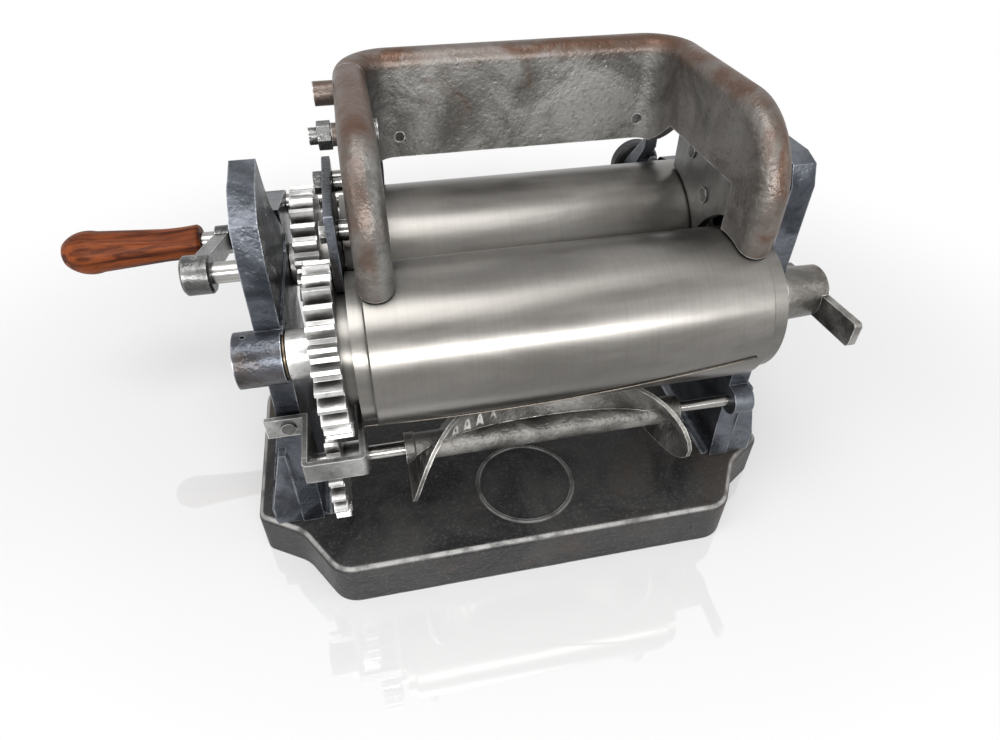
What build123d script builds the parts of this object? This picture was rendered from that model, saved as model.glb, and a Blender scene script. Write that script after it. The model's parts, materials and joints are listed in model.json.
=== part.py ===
"""Hand crank tortilla machine.

Dough dropped into the hopper is drawn between two geared rollers.  The sheet stays on the front
roller until a rotary cutter below it stamps out a round tortilla.
+X runs along the rollers away from the crank, -Y faces the user, +Z is up.
The origin is the centre of the underside of the base.  Sizes are in millimetres.
"""
import os
from math import acos, atan2, cos, degrees, pi, radians, sin, sqrt, tan

from build123d import *

os.makedirs("parts", exist_ok=True)

# ---------------------------------------------------------------- gears and rollers
MODULE = 3.0
ROLLER_TEETH = 28
CUTTER_TEETH = 20
BACKLASH = 0.35
PRESSURE_ANGLE = 20.0
GEAR_FACE = 13.0
GEAR_STAGGER = 7.6
CUTTER_GEAR_FACE = 7.5
CUTTER_GEAR_OVERLAP = 3.8
NIP = 1.6
ROLLER_LENGTH = 200.5
STEP_DROP = 3.3
LEFT_STEP_LENGTH = 6.7
RIGHT_STEP_LENGTH = 8.5
COLLAR_RADIUS = 28.7
COLLAR_LENGTH = 5.7
HUB_RADIUS = 12.6
HUB_LENGTH = 6.0
AXIS_HEIGHT = 155.5
NIP_Y = 3.5

# ---------------------------------------------------------------- shafts, bushes and keys
SHAFT_RADIUS = 6.35
RUNNING_CLEARANCE = 0.05
FACE_CLEARANCE = 0.25
BUSH_WALL = 3.0
BUSH_FLANGE = 1.5
BUSH_FLANGE_RADIUS = 12.5
KEY_SIZE = 4.0
PIN_RADIUS = 2.0
PIN_ANGLE = 50.0

# ---------------------------------------------------------------- side frames
FRAME_INNER = 126.0
FRAME_THICKNESS = 12.5
FRAME_FRONT = -43.5
FRAME_BACK = 50.5
FRAME_TOP = 236.5
BOSS_RADIUS = 14.2
BOSS_LENGTH = 10.5
OIL_HOLE_RADIUS = 1.2
LUG_RADIUS = 9.0
EAR_RADIUS = 8.5
EAR_SPREAD = 20.0
PAD_THICKNESS = 1.2
PAD_HEIGHT = 30.0
PAD_RADIUS = 19.0
FOOT_WIDTH = 17.0
FOOT_THICKNESS = 9.0
GUSSET_HEIGHT = 58.0
GUSSET_THICKNESS = 7.0
ROOT_RADIUS = 5.0

# ---------------------------------------------------------------- base casting
BASE_HEIGHT = 31.5
BASE_WALL = 6.5
BASE_FRONT = -86.0
BASE_BACK = 86.0
BASE_HALF_WIDTH = 166.0
APRON_HALF_WIDTH = 119.0
APRON_CORNER = 18.0
NECK_HALF_WIDTH = 140.0
NECK_Y = -53.0
NECK_RADIUS = 24.0
SHOULDER_Y = -37.0
SHOULDER_CORNER = 8.0
BACK_CORNER = 18.0
TOP_ROUND = 4.0
RIB_THICKNESS = 6.0
REST_PAD_RADIUS = 16.0
BADGE_RADIUS = 31.0
BADGE_Y = -43.0
BADGE_LINE = 1.8
BADGE_RISE = 1.0

# ---------------------------------------------------------------- cutter
CUTTER_TILT = 6.5
CUTTER_GAP = 0.35
CORE_RADIUS = 8.0
CORE_START = -73.0
TORTILLA = 162.0
CORE_OVERHANG = 1.5
BLADE_THICKNESS = 2.2
BLADE_TURN = -44.0
CUTTER_SHAFT_RADIUS = 4.4
CUTTER_STUB_RADIUS = 3.4

# ---------------------------------------------------------------- yoke that carries the cutter gear
YOKE_BAR = 2.8
YOKE_CORNER = 7.0
YOKE_HEIGHT = 12.5
YOKE_TOP = 119.0
YOKE_FRONT = -81.0
YOKE_LEFT = -124.4
YOKE_RIGHT = -93.2
YOKE_EYE_RADIUS = 8.5
YOKE_TAIL = -144.0
YOKE_SCREW_RADIUS = 2.0
YOKE_SCREW_LENGTH = 12.0

# ---------------------------------------------------------------- hopper
HOPPER_LEFT = -69.0
HOPPER_RIGHT = 101.5
HOPPER_FRONT = -59.0
HOPPER_BACK_INSIDE = 70.0
HOPPER_TOP = 264.0
HOPPER_WALL = 6.0
RIM_WIDTH = 17.0
RIM_DEPTH = 14.0
RIM_LIP = 4.6
RIM_ROUND = 8.0
CHEEK_CORNER = 45.0
NOSE_RADIUS = 82.0
NOSE_Z = 212.0
NOSE_BOTTOM = 189.0
BACK_WALL_BOTTOM = 206.0
CHEEK_BOTTOM = 222.0
CHEEK_NOSE = 28.0
PLAN_CORNER = 13.0
ROLLER_CLEARANCE = 1.0
SEAM_Y = 57.0
SEAM_GAP = 0.6
CHEEK_LUG = (47.0, 253.0)
CHEEK_LUG_RADIUS = 6.0
CHEEK_LUG_REACH = 10.0
STUD_BOSS_RADIUS = 5.4

# ---------------------------------------------------------------- hopper end plates and supports
END_PLATE = 5.0
END_PLATE_FRONT = -30.6
END_PLATE_BACK = 43.8
END_PLATE_TOP = 240.0
END_PLATE_BOTTOM = 172.0
SCALLOP_CLEARANCE = 5.4
PLATE_BOLTS = ((24.6, 215.6), (2.6, 199.0))
BOLT_RADIUS = 3.0
BOLT_HEAD = 3.0
FLUSH_HEAD = 1.0
FLUSH_HEAD_RADIUS = 4.3
NUT_FLATS = 10.0
NUT_THICKNESS = 5.0
SHOE_TOP = 225.0
SHOE_CLEARANCE = 0.6
SPACER_WALL = 2.5
STUD_Y = 11.0
STUD_Z = 245.5
STUD_SEAT = -89.0
STUD_RADIUS = 4.0
STUD_NUT_FLATS = 12.0
STUD_NUT_THICKNESS = 6.5
STUD_END = 4.0
STUD_HEAD = 2.0
CROSS_HOLE_RADIUS = 0.8
TIE_RADIUS = 6.0
TIE_END_RADIUS = 4.0
TIE_Y = 96.0
TIE_Z = 170.0
BRACKET_THICKNESS = 4.0
BRACKET_PAD = 24.0
BRACKET_LEG = 8.0
BRACKET_SCREW_INSET = 19.0
BRACKET_SCREW_RISE = 12.0
BRACKET_X = (-72.0, 110.0)
SLEEVE_END = 121.0
CLAMP_RADIUS = 9.5
KNOB_X = 112.0
KNOB_RADIUS = 16.0
KNOB_LENGTH = 9.0
KNOB_STEM_RADIUS = 3.0
KNOB_GAP = 0.5

# ---------------------------------------------------------------- crank, handle and gap lever
CRANK_RADIUS = 90.0
CRANK_DROP = 17.0
CRANK_HUB_RADIUS = 11.7
CRANK_HUB_LENGTH = 16.5
CRANK_HUB_GAP = 20.0
CRANK_EYE_RADIUS = 10.0
CRANK_ARM = 9.0
SPINDLE_RADIUS = 4.0
HANDLE_LENGTH = 89.0
HANDLE_RADIUS = 13.9
HANDLE_WAIST = 11.2
HANDLE_FLARE = 12.2
HANDLE_NOSE = 5.5
HANDLE_GAP = 10.0
LEVER_HUB_RADIUS = 15.2
LEVER_HUB_LENGTH = 21.0
LEVER_REACH = 42.5
LEVER_TAIL = 26.0
LEVER_TAIL_DROP = 4.5
LEVER_HEIGHT = 14.5
LEVER_THICKNESS = 4.5

# ---------------------------------------------------------------- worked out places
PITCH_RADIUS = MODULE * ROLLER_TEETH / 2
CUTTER_PITCH_RADIUS = MODULE * CUTTER_TEETH / 2
AXIS_SPACING = 2 * PITCH_RADIUS
ROLLER_RADIUS = PITCH_RADIUS - NIP / 2
STEP_RADIUS = ROLLER_RADIUS - STEP_DROP
FRONT = (NIP_Y - PITCH_RADIUS, AXIS_HEIGHT)
BACK = (NIP_Y + PITCH_RADIUS, AXIS_HEIGHT)
CUTTER_REACH = PITCH_RADIUS + CUTTER_PITCH_RADIUS
CUTTER = (
    FRONT[0] - CUTTER_REACH * sin(radians(CUTTER_TILT)),
    FRONT[1] - CUTTER_REACH * cos(radians(CUTTER_TILT)),
)
BLADE_RADIUS = CUTTER_REACH - ROLLER_RADIUS - CUTTER_GAP
FRAME_OUTER = FRAME_INNER + FRAME_THICKNESS
BUSH_RADIUS = SHAFT_RADIUS + BUSH_WALL
HUB_START = -FRAME_INNER + BUSH_FLANGE + FACE_CLEARANCE
BACK_GEAR_START = HUB_START + HUB_LENGTH
FRONT_GEAR_START = BACK_GEAR_START + GEAR_STAGGER
FRONT_GEAR_END = FRONT_GEAR_START + GEAR_FACE
COLLAR_END = FRONT_GEAR_END + COLLAR_LENGTH
ROLLER_START = COLLAR_END + LEFT_STEP_LENGTH
ROLLER_END = ROLLER_START + ROLLER_LENGTH
STEP_END = ROLLER_END + RIGHT_STEP_LENGTH
CUTTER_GEAR_END = FRONT_GEAR_START + CUTTER_GEAR_OVERLAP
CUTTER_GEAR_START = CUTTER_GEAR_END - CUTTER_GEAR_FACE
CORE_END = CORE_START + TORTILLA + 2 * CORE_OVERHANG
LEFT_PLATE_FACE = HOPPER_LEFT - HOPPER_WALL
RIGHT_PLATE_FACE = HOPPER_RIGHT + HOPPER_WALL
HOPPER_BACK_OUTSIDE = HOPPER_BACK_INSIDE + HOPPER_WALL
SHOE_START = FRONT_GEAR_END + SHOE_CLEARANCE
SHOE_END = COLLAR_END - SHOE_CLEARANCE
CRANK_HUB_END = -FRAME_OUTER - BOSS_LENGTH - CRANK_HUB_GAP
CRANK_HUB_START = CRANK_HUB_END - CRANK_HUB_LENGTH
CRANK_ARM_START = CRANK_HUB_START + (CRANK_HUB_LENGTH - CRANK_ARM) / 2
HANDLE_AXIS = (
    BACK[0] + CRANK_RADIUS * cos(radians(CRANK_DROP)),
    BACK[1] - CRANK_RADIUS * sin(radians(CRANK_DROP)),
)
HANDLE_BASE = CRANK_ARM_START - HANDLE_GAP
LEVER_START = FRAME_OUTER + LEVER_HUB_LENGTH


# ---------------------------------------------------------------- helpers
def side_plane(x, axis=(0.0, 0.0)):
    """Plane across the rollers: its own x is the model's Y and its own y is the model's Z."""
    return Plane(origin=(x, axis[0], axis[1]), x_dir=(0, 1, 0), z_dir=(1, 0, 0))


def slab(x_start, x_end, sketch, axis=(0.0, 0.0)):
    """A side view outline given thickness along X."""
    return extrude(side_plane(x_start, axis) * sketch, x_end - x_start)


def rod(x_start, x_end, radius, axis):
    return slab(x_start, x_end, Circle(radius), axis)


def hexagon(x_start, x_end, across_flats, axis):
    return slab(x_start, x_end, RegularPolygon(across_flats / 2, 6, major_radius=False), axis)


def turned(outline, axis):
    """A solid of revolution about a line along X: outline holds (x, radius) pairs."""
    face = make_face(Polyline(*outline, close=True))
    return Pos(0, axis[0], axis[1]) * revolve(face, Axis.X)


def polygon(*points):
    return make_face(Polyline(*points, close=True))


# ---------------------------------------------------------------- gears
def tooth_profile(teeth, phase):
    """Involute spur outline with one tooth centred on the angle phase."""
    pitch_radius = MODULE * teeth / 2
    base_radius = pitch_radius * cos(radians(PRESSURE_ANGLE))
    tip_radius = pitch_radius + MODULE
    root_radius = pitch_radius - 1.25 * MODULE
    half_tooth = (pi * MODULE / 2 - BACKLASH / 2) / 2 / pitch_radius

    def involute(radius):
        pressure = acos(min(1.0, base_radius / radius))
        return tan(pressure) - pressure

    flank_start = max(base_radius, root_radius)
    radii = [flank_start + (tip_radius - flank_start) * share for share in (0.0, 0.35, 0.7, 1.0)]
    flank = [(r, half_tooth + involute(pitch_radius) - involute(r)) for r in radii]
    flank.insert(0, (root_radius, flank[0][1] + 0.25 * half_tooth))
    points = []
    for tooth in range(teeth):
        centre = radians(phase) + 2 * pi * tooth / teeth
        side = [(r, centre - offset) for r, offset in flank]
        side += [(r, centre + offset) for r, offset in reversed(flank)]
        points += [(r * cos(a), r * sin(a)) for r, a in side]
    return polygon(*points)


FRONT_PHASE = 0.0
BACK_PHASE = 180.0 + 180.0 / ROLLER_TEETH


def cutter_phase():
    """Turn that sets a gap of the cutter gear over the nearest tooth of the front gear."""
    contact = degrees(atan2(CUTTER[1] - FRONT[1], CUTTER[0] - FRONT[0]))
    tooth_angle = 360.0 / ROLLER_TEETH
    nearest = round((contact - FRONT_PHASE) / tooth_angle) * tooth_angle + FRONT_PHASE
    lead = (nearest - contact) * ROLLER_TEETH / CUTTER_TEETH
    return contact + 180.0 - lead + 180.0 / CUTTER_TEETH


def gear_start(axis):
    """The two roller gears are staggered: the front one sits nearer to the rollers."""
    return FRONT_GEAR_START if axis == FRONT else BACK_GEAR_START


def gear_key(axis):
    """Square key lying half in the shaft and half in the gear, on top of the shaft."""
    start = gear_start(axis)
    return slab(start, start + GEAR_FACE, Pos(0, SHAFT_RADIUS) * Rectangle(KEY_SIZE, KEY_SIZE), axis)


def roller_gear(axis, phase):
    start = gear_start(axis)
    end = start + GEAR_FACE
    gear = slab(start, end, tooth_profile(ROLLER_TEETH, phase), axis)
    gear += rod(HUB_START, start, HUB_RADIUS, axis)
    gear -= rod(HUB_START, end, SHAFT_RADIUS, axis)
    return gear - gear_key(axis)


def cutter_gear():
    gear = slab(CUTTER_GEAR_START, CUTTER_GEAR_END, tooth_profile(CUTTER_TEETH, cutter_phase()), CUTTER)
    hub_end = YOKE_RIGHT - YOKE_BAR - FACE_CLEARANCE
    gear += rod(CUTTER_GEAR_END, hub_end, YOKE_EYE_RADIUS, CUTTER)
    return gear - rod(CUTTER_GEAR_START, hub_end, CUTTER_SHAFT_RADIUS, CUTTER)


# ---------------------------------------------------------------- rollers and their shafts
def roller(axis):
    soft = 0.8
    collar_start = gear_start(axis) + GEAR_FACE
    body = turned(
        [
            (collar_start, SHAFT_RADIUS),
            (collar_start, COLLAR_RADIUS),
            (COLLAR_END, COLLAR_RADIUS),
            (COLLAR_END, STEP_RADIUS),
            (ROLLER_START, STEP_RADIUS),
            (ROLLER_START, ROLLER_RADIUS - soft),
            (ROLLER_START + soft, ROLLER_RADIUS),
            (ROLLER_END - soft, ROLLER_RADIUS),
            (ROLLER_END, ROLLER_RADIUS - soft),
            (ROLLER_END, STEP_RADIUS),
            (STEP_END, STEP_RADIUS),
            (STEP_END, SHAFT_RADIUS),
        ],
        axis,
    )
    return body - roller_pin(axis)


def roller_pin(axis):
    """Cross pin through the collar and the shaft."""
    middle = (FRONT_GEAR_END + COLLAR_END) / 2
    length = 2 * (COLLAR_RADIUS - 0.3)
    pin = extrude(Circle(PIN_RADIUS), length / 2, both=True)
    return Pos(middle, axis[0], axis[1]) * Rot(90.0 - PIN_ANGLE, 0, 0) * pin


def keyed_shaft(x_start, x_end, axis):
    end = 0.8
    shaft = turned(
        [
            (x_start, 0),
            (x_start, SHAFT_RADIUS - end),
            (x_start + end, SHAFT_RADIUS),
            (x_end - end, SHAFT_RADIUS),
            (x_end, SHAFT_RADIUS - end),
            (x_end, 0),
        ],
        axis,
    )
    return shaft - gear_key(axis) - roller_pin(axis)


def bush(side, axis):
    """Flanged bearing bush; side is -1 for the crank side and 1 for the far side."""
    inner = side * FRAME_INNER
    flange = inner - side * BUSH_FLANGE
    outer = side * (FRAME_OUTER + BOSS_LENGTH)
    body = rod(min(inner, outer), max(inner, outer), BUSH_RADIUS, axis)
    body += rod(min(inner, flange), max(inner, flange), BUSH_FLANGE_RADIUS, axis)
    return body - rod(-2 * FRAME_OUTER, 2 * FRAME_OUTER, SHAFT_RADIUS + RUNNING_CLEARANCE, axis)


# ---------------------------------------------------------------- side frames
def frame_outline(top):
    """Side view of a frame; top lists the points of its upper edge, from the front to the back."""
    foot_rise = 26.0
    spread = 14.0
    points = [
        (FRAME_BACK, BASE_HEIGHT + foot_rise),
        (FRAME_BACK + spread, BASE_HEIGHT),
        (FRAME_FRONT - 2.0, BASE_HEIGHT),
        (FRAME_FRONT, BASE_HEIGHT + foot_rise),
    ]
    outline = polygon(*points, *top)
    outline += Pos(*FRONT) * Circle(BOSS_RADIUS) + Pos(*BACK) * Circle(BOSS_RADIUS)
    return outline


def foot(side):
    """Outward foot flange with a gusset at each end."""
    inner = side * FRAME_OUTER
    outer = side * (FRAME_OUTER + FOOT_WIDTH)
    centre_x = (inner + outer) / 2
    flange_y = (FRAME_FRONT + FRAME_BACK + 12.0) / 2
    length = FRAME_BACK - FRAME_FRONT + 14.0
    body = Pos(centre_x, flange_y, BASE_HEIGHT + FOOT_THICKNESS / 2) * Box(FOOT_WIDTH, length, FOOT_THICKNESS)
    body = fillet(body.edges().filter_by(Axis.Z).group_by(Axis.X)[-1 if side > 0 else 0], 5.0)
    for gusset_y in (flange_y - length / 2 + GUSSET_THICKNESS, flange_y + length / 2):
        triangle = Plane(origin=(0, gusset_y, 0), x_dir=(1, 0, 0), z_dir=(0, -1, 0)) * polygon(
            (inner, BASE_HEIGHT),
            (outer - side * 2.0, BASE_HEIGHT),
            (outer - side * 2.0, BASE_HEIGHT + FOOT_THICKNESS + 6.0),
            (inner + side * 4.0, BASE_HEIGHT + GUSSET_HEIGHT),
            (inner, BASE_HEIGHT + GUSSET_HEIGHT),
        )
        body += extrude(triangle, GUSSET_THICKNESS)
    return body


def foot_root(side):
    """Hollow fillet between the inner face of a leg and the top of the base."""
    inner = side * FRAME_INNER
    corner = (inner - side * ROOT_RADIUS, BASE_HEIGHT + ROOT_RADIUS)
    strip = polygon((inner, BASE_HEIGHT), (corner[0], BASE_HEIGHT), corner, (inner, corner[1]))
    strip -= Pos(*corner) * Circle(ROOT_RADIUS)
    length = FRAME_BACK - FRAME_FRONT
    return extrude(Plane(origin=(0, FRAME_BACK, 0), x_dir=(1, 0, 0), z_dir=(0, -1, 0)) * strip, length)


def foot_bolt_places(side):
    """The two foot bolts of one frame."""
    x = side * (FRAME_OUTER + FOOT_WIDTH / 2 + 1.0)
    middle = (FRAME_FRONT + FRAME_BACK) / 2
    return [(x, middle - 24.0), (x, middle + 24.0)]


def side_frame(side, top):
    """Plate, bearing bosses, rear ear and foot of one frame, not yet bored."""
    inner = side * FRAME_INNER
    outer = side * FRAME_OUTER
    body = slab(min(inner, outer), max(inner, outer), frame_outline(top) + ear_outline())
    boss_end = side * (FRAME_OUTER + BOSS_LENGTH)
    body += rod(min(outer, boss_end), max(outer, boss_end), BOSS_RADIUS, BACK)
    if side < 0:
        body += rod(boss_end, outer, BOSS_RADIUS, FRONT)
    return body + foot(side) + foot_root(side)


def frame_bores(side):
    """Holes of one frame: two bearings, the tie bar and the foot bolts."""
    holes = rod(-2 * FRAME_OUTER, 2 * FRAME_OUTER, TIE_END_RADIUS, (TIE_Y, TIE_Z))
    holes += rod(-2 * FRAME_OUTER, 2 * FRAME_OUTER, BUSH_RADIUS, BACK)
    front_radius = BUSH_RADIUS + (RUNNING_CLEARANCE if side > 0 else 0.0)
    holes += rod(-2 * FRAME_OUTER, 2 * FRAME_OUTER, front_radius, FRONT)
    for x, y in foot_bolt_places(side):
        holes += Pos(x, y, BASE_HEIGHT) * Cylinder(BOLT_RADIUS, 4 * FOOT_THICKNESS)
    return holes


LEFT_TOP = [
    (-32.0, FRAME_TOP - 34.0),
    (-27.0, FRAME_TOP - 14.5),
    (-10.0, FRAME_TOP - 4.5),
    (12.0, FRAME_TOP),
    (17.0, FRAME_TOP - 15.5),
    (24.0, FRAME_TOP - 30.5),
    (FRAME_BACK + 4.0, AXIS_HEIGHT + 18.0),
    (FRAME_BACK + 6.0, AXIS_HEIGHT),
    (FRAME_BACK, AXIS_HEIGHT - 22.0),
]
RIGHT_TOP = [
    (FRAME_FRONT, FRAME_TOP - 13.0),
    (FRAME_FRONT + 4.0, FRAME_TOP - 3.0),
    (FRAME_FRONT + 13.0, FRAME_TOP),
    (FRAME_BACK - 12.0, FRAME_TOP),
    (FRAME_BACK, FRAME_TOP - 12.0),
]


def ear_outline():
    """Rear ear that takes the tie bar."""
    root = FRAME_BACK - 1.0
    low_root = TIE_Z - 2.0 * EAR_SPREAD
    ear = polygon(
        (root, TIE_Z + EAR_SPREAD),
        (TIE_Y, TIE_Z + EAR_RADIUS),
        (TIE_Y, TIE_Z - EAR_RADIUS),
        (root, low_root),
    )
    return ear + Pos(TIE_Y, TIE_Z) * Circle(EAR_RADIUS)


def yoke_screw_place():
    """Where the yoke's tail is screwed to the crank side leg."""
    return (-(FRAME_INNER + FRAME_OUTER) / 2, FRAME_FRONT, YOKE_TOP - YOKE_HEIGHT / 2)


def left_frame():
    """Crank side frame with a raised pad round the bearings."""
    inner = -FRAME_INNER
    body = side_frame(-1, LEFT_TOP)
    pad = Pos(NIP_Y, AXIS_HEIGHT) * Rectangle(AXIS_SPACING, PAD_HEIGHT)
    pad += Pos(*BACK) * Circle(PAD_RADIUS)
    for axis in (FRONT, BACK):
        pad -= Pos(*axis) * Circle(BUSH_FLANGE_RADIUS + 0.5)
    body += slab(inner, inner + PAD_THICKNESS, pad & frame_outline(LEFT_TOP))
    body -= frame_bores(-1)
    body -= Pos(-FRAME_OUTER - BOSS_LENGTH / 2, FRONT[0], FRONT[1] + BOSS_RADIUS) * Cylinder(OIL_HOLE_RADIUS, 8.0)
    return body - Pos(*yoke_screw_place()) * Rot(90, 0, 0) * Cylinder(YOKE_SCREW_RADIUS, 2 * YOKE_SCREW_LENGTH)


def right_frame():
    """Far side frame; it also carries the hopper and the plain end of the cutter shaft."""
    body = side_frame(1, RIGHT_TOP)
    lug = Pos(*CUTTER) * Circle(LUG_RADIUS)
    lug += Pos(CUTTER[0] + LUG_RADIUS, CUTTER[1]) * Rectangle(2 * LUG_RADIUS, 2 * LUG_RADIUS)
    body += slab(FRAME_INNER, FRAME_OUTER, lug)
    body -= rod(FRAME_INNER, 2 * FRAME_OUTER, CUTTER_STUB_RADIUS + RUNNING_CLEARANCE, CUTTER)
    for place in PLATE_BOLTS:
        body -= rod(FRAME_INNER, FRAME_OUTER, BOLT_RADIUS, place)
    return body - frame_bores(1)


# ---------------------------------------------------------------- base
def base_outline(inset=0.0):
    """Plan of the base: a narrower apron in front that flares out to the feet of the frames."""
    right = [
        (APRON_HALF_WIDTH, BASE_FRONT),
        (NECK_HALF_WIDTH, NECK_Y),
        (BASE_HALF_WIDTH, SHOULDER_Y),
        (BASE_HALF_WIDTH, BASE_BACK),
    ]
    left = [(-x, y) for x, y in reversed(right)]
    plan = polygon(*right, *left)
    for index, radius in enumerate((APRON_CORNER, NECK_RADIUS, SHOULDER_CORNER, BACK_CORNER)):
        x, y = right[index]
        corners = [v for v in plan.vertices() if abs(abs(v.X) - x) < 0.01 and abs(v.Y - y) < 0.01]
        plan = fillet(corners, radius)
    return offset(plan, -inset) if inset else plan


def base():
    plan = base_outline()
    body = extrude(plan, BASE_HEIGHT)
    body = fillet(body.edges().group_by(Axis.Z)[-1], TOP_ROUND)
    body -= extrude(base_outline(BASE_WALL), BASE_HEIGHT - BASE_WALL)
    ribs = Pos(0, 0) * Rectangle(2 * BASE_HALF_WIDTH, RIB_THICKNESS) + Rectangle(RIB_THICKNESS, BASE_BACK - BASE_FRONT)
    ribs += Circle(REST_PAD_RADIUS)
    for side in (-1, 1):
        for x, y in foot_bolt_places(side):
            ribs += Pos(x, y) * Circle(9.0)
    body += extrude(ribs & base_outline(1.0), BASE_HEIGHT - 1.0)
    for side in (-1, 1):
        for x, y in foot_bolt_places(side):
            body -= Pos(x, y, BASE_HEIGHT) * Cylinder(BOLT_RADIUS, 30.0)
    ring = Circle(BADGE_RADIUS) - Circle(BADGE_RADIUS - BADGE_LINE)
    body += Pos(0, BADGE_Y, BASE_HEIGHT - 0.5) * extrude(ring, BADGE_RISE + 0.5)
    return body


def foot_bolts():
    """Hexagon head bolts through the frame feet into the base."""
    seat = BASE_HEIGHT + FOOT_THICKNESS
    bolts = []
    for side in (-1, 1):
        for x, y in foot_bolt_places(side):
            head = extrude(RegularPolygon(NUT_FLATS / 2, 6, major_radius=False), BOLT_HEAD + 1.5)
            shank = Pos(0, 0, -FOOT_THICKNESS - 12.0) * extrude(Circle(BOLT_RADIUS), FOOT_THICKNESS + 12.0)
            bolts.append(Pos(x, y, seat) * (head + shank))
    return bolts


# ---------------------------------------------------------------- cutter
def blade_point(turn, radius, side):
    """Corner of the blade; side is -1 or 1 across its thickness."""
    reach = TORTILLA / 2
    middle = CORE_START + CORE_OVERHANG + reach
    along = (reach + side * BLADE_THICKNESS / 2) * cos(turn)
    around = (reach + side * BLADE_THICKNESS / 2) * sin(turn) / BLADE_RADIUS
    angle = radians(180.0 - BLADE_TURN) + around
    return (middle + along, CUTTER[0] + radius * cos(angle), CUTTER[1] + radius * sin(angle))


def blade():
    """A circle as wide as the tortilla, wrapped round the cutter and standing on its core."""
    stations = 56
    root = CORE_RADIUS - 1.2
    rings = {}
    for radius in (root, BLADE_RADIUS):
        for side in (-1, 1):
            points = [blade_point(2 * pi * k / stations, radius, side) for k in range(stations)]
            rings[radius, side] = points
    corners = [rings[root, -1], rings[BLADE_RADIUS, -1], rings[BLADE_RADIUS, 1], rings[root, 1]]
    faces = []
    for k in range(stations):
        after = (k + 1) % stations
        for i in range(4):
            j = (i + 1) % 4
            a, b, c, d = corners[i][k], corners[j][k], corners[j][after], corners[i][after]
            faces.append(Face(Wire.make_polygon([a, b, c])))
            faces.append(Face(Wire.make_polygon([a, c, d])))
    return Solid(Shell(faces))


def cutter_drum():
    """Core of the cutter with its blade, cast in one piece."""
    soft = 1.0
    core = turned(
        [
            (CORE_START, CUTTER_STUB_RADIUS),
            (CORE_START, CORE_RADIUS + 0.8),
            (CORE_START + 5.0, CORE_RADIUS + 0.8),
            (CORE_START + 5.0 + soft, CORE_RADIUS),
            (CORE_END - soft, CORE_RADIUS),
            (CORE_END, CORE_RADIUS - soft),
            (CORE_END, CUTTER_STUB_RADIUS),
        ],
        CUTTER,
    )
    drum = core + blade()
    return drum - cutter_shaft()


def cutter_shaft():
    """Stepped shaft: thick through the yoke, thin through the core and the far frame."""
    start = YOKE_LEFT - 3.0
    step = CORE_START + 20.0
    return turned(
        [
            (start, 0),
            (start, CUTTER_SHAFT_RADIUS),
            (step, CUTTER_SHAFT_RADIUS),
            (step, CUTTER_STUB_RADIUS),
            (FRAME_OUTER + 2.0, CUTTER_STUB_RADIUS),
            (FRAME_OUTER + 2.0, 0),
        ],
        CUTTER,
    )


def set_screw(x, axis, outer, inner):
    """Headless screw that points down onto a shaft."""
    screw = Pos(x, axis[0], axis[1] + inner) * extrude(Circle(1.5), outer - inner)
    return screw


# ---------------------------------------------------------------- yoke
def yoke_arm(x_start, reach_back):
    """Arm across the cutter shaft with a round eye."""
    low = YOKE_TOP - YOKE_HEIGHT
    outline = polygon(
        (YOKE_FRONT, YOKE_TOP),
        (reach_back, YOKE_TOP),
        (CUTTER[0] + YOKE_EYE_RADIUS, CUTTER[1] + 4.0),
        (CUTTER[0] - YOKE_EYE_RADIUS + 1.5, CUTTER[1] - 4.0),
        (YOKE_FRONT, low),
    )
    outline += Pos(*CUTTER) * Circle(YOKE_EYE_RADIUS)
    arm = slab(x_start, x_start + YOKE_BAR, outline)
    return arm - rod(x_start, x_start + YOKE_BAR, CUTTER_SHAFT_RADIUS + RUNNING_CLEARANCE, CUTTER)


def gear_yoke():
    """Flat bar bent in a U round the cutter gear; its tail is screwed to the crank side leg."""
    low = YOKE_TOP - YOKE_HEIGHT
    inner_left = YOKE_LEFT + YOKE_BAR
    body = yoke_arm(YOKE_LEFT, FRAME_FRONT - YOKE_BAR)
    body += yoke_arm(YOKE_RIGHT - YOKE_BAR, CUTTER[0] + YOKE_EYE_RADIUS)
    plan = Rectangle(YOKE_RIGHT - YOKE_LEFT, YOKE_BAR)
    body += Pos((YOKE_LEFT + YOKE_RIGHT) / 2, YOKE_FRONT + YOKE_BAR / 2, low) * extrude(plan, YOKE_HEIGHT)
    body = fillet(body.edges().filter_by(Axis.Z).group_by(Axis.Y)[0], YOKE_BAR - 0.1)
    tail = Rectangle(inner_left - YOKE_TAIL, YOKE_BAR)
    tail_place = Pos((YOKE_TAIL + inner_left) / 2, FRAME_FRONT - YOKE_BAR / 2, low)
    body += tail_place * extrude(tail, YOKE_HEIGHT)
    return body - Pos(*yoke_screw_place()) * Rot(90, 0, 0) * Cylinder(YOKE_SCREW_RADIUS, 2 * YOKE_SCREW_LENGTH)


def yoke_screw():
    head = extrude(Circle(2 * YOKE_SCREW_RADIUS), 1.6)
    shank = Pos(0, 0, -YOKE_SCREW_LENGTH) * extrude(Circle(YOKE_SCREW_RADIUS), YOKE_SCREW_LENGTH)
    x, y, z = yoke_screw_place()
    return Pos(x, y - YOKE_BAR, z) * Rot(90, 0, 0) * (head + shank)


# ---------------------------------------------------------------- hopper
def hopper_plan(offset):
    """Plan of the hopper's inside, grown outwards by offset and open to the front."""
    left = HOPPER_LEFT - offset
    right = HOPPER_RIGHT + offset
    back = HOPPER_BACK_INSIDE + offset
    front = HOPPER_FRONT - 20.0
    plan = Pos((left + right) / 2, (front + back) / 2) * Rectangle(right - left, back - front)
    return fillet(plan.vertices().group_by(Axis.Y)[-1], PLAN_CORNER + offset)


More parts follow.
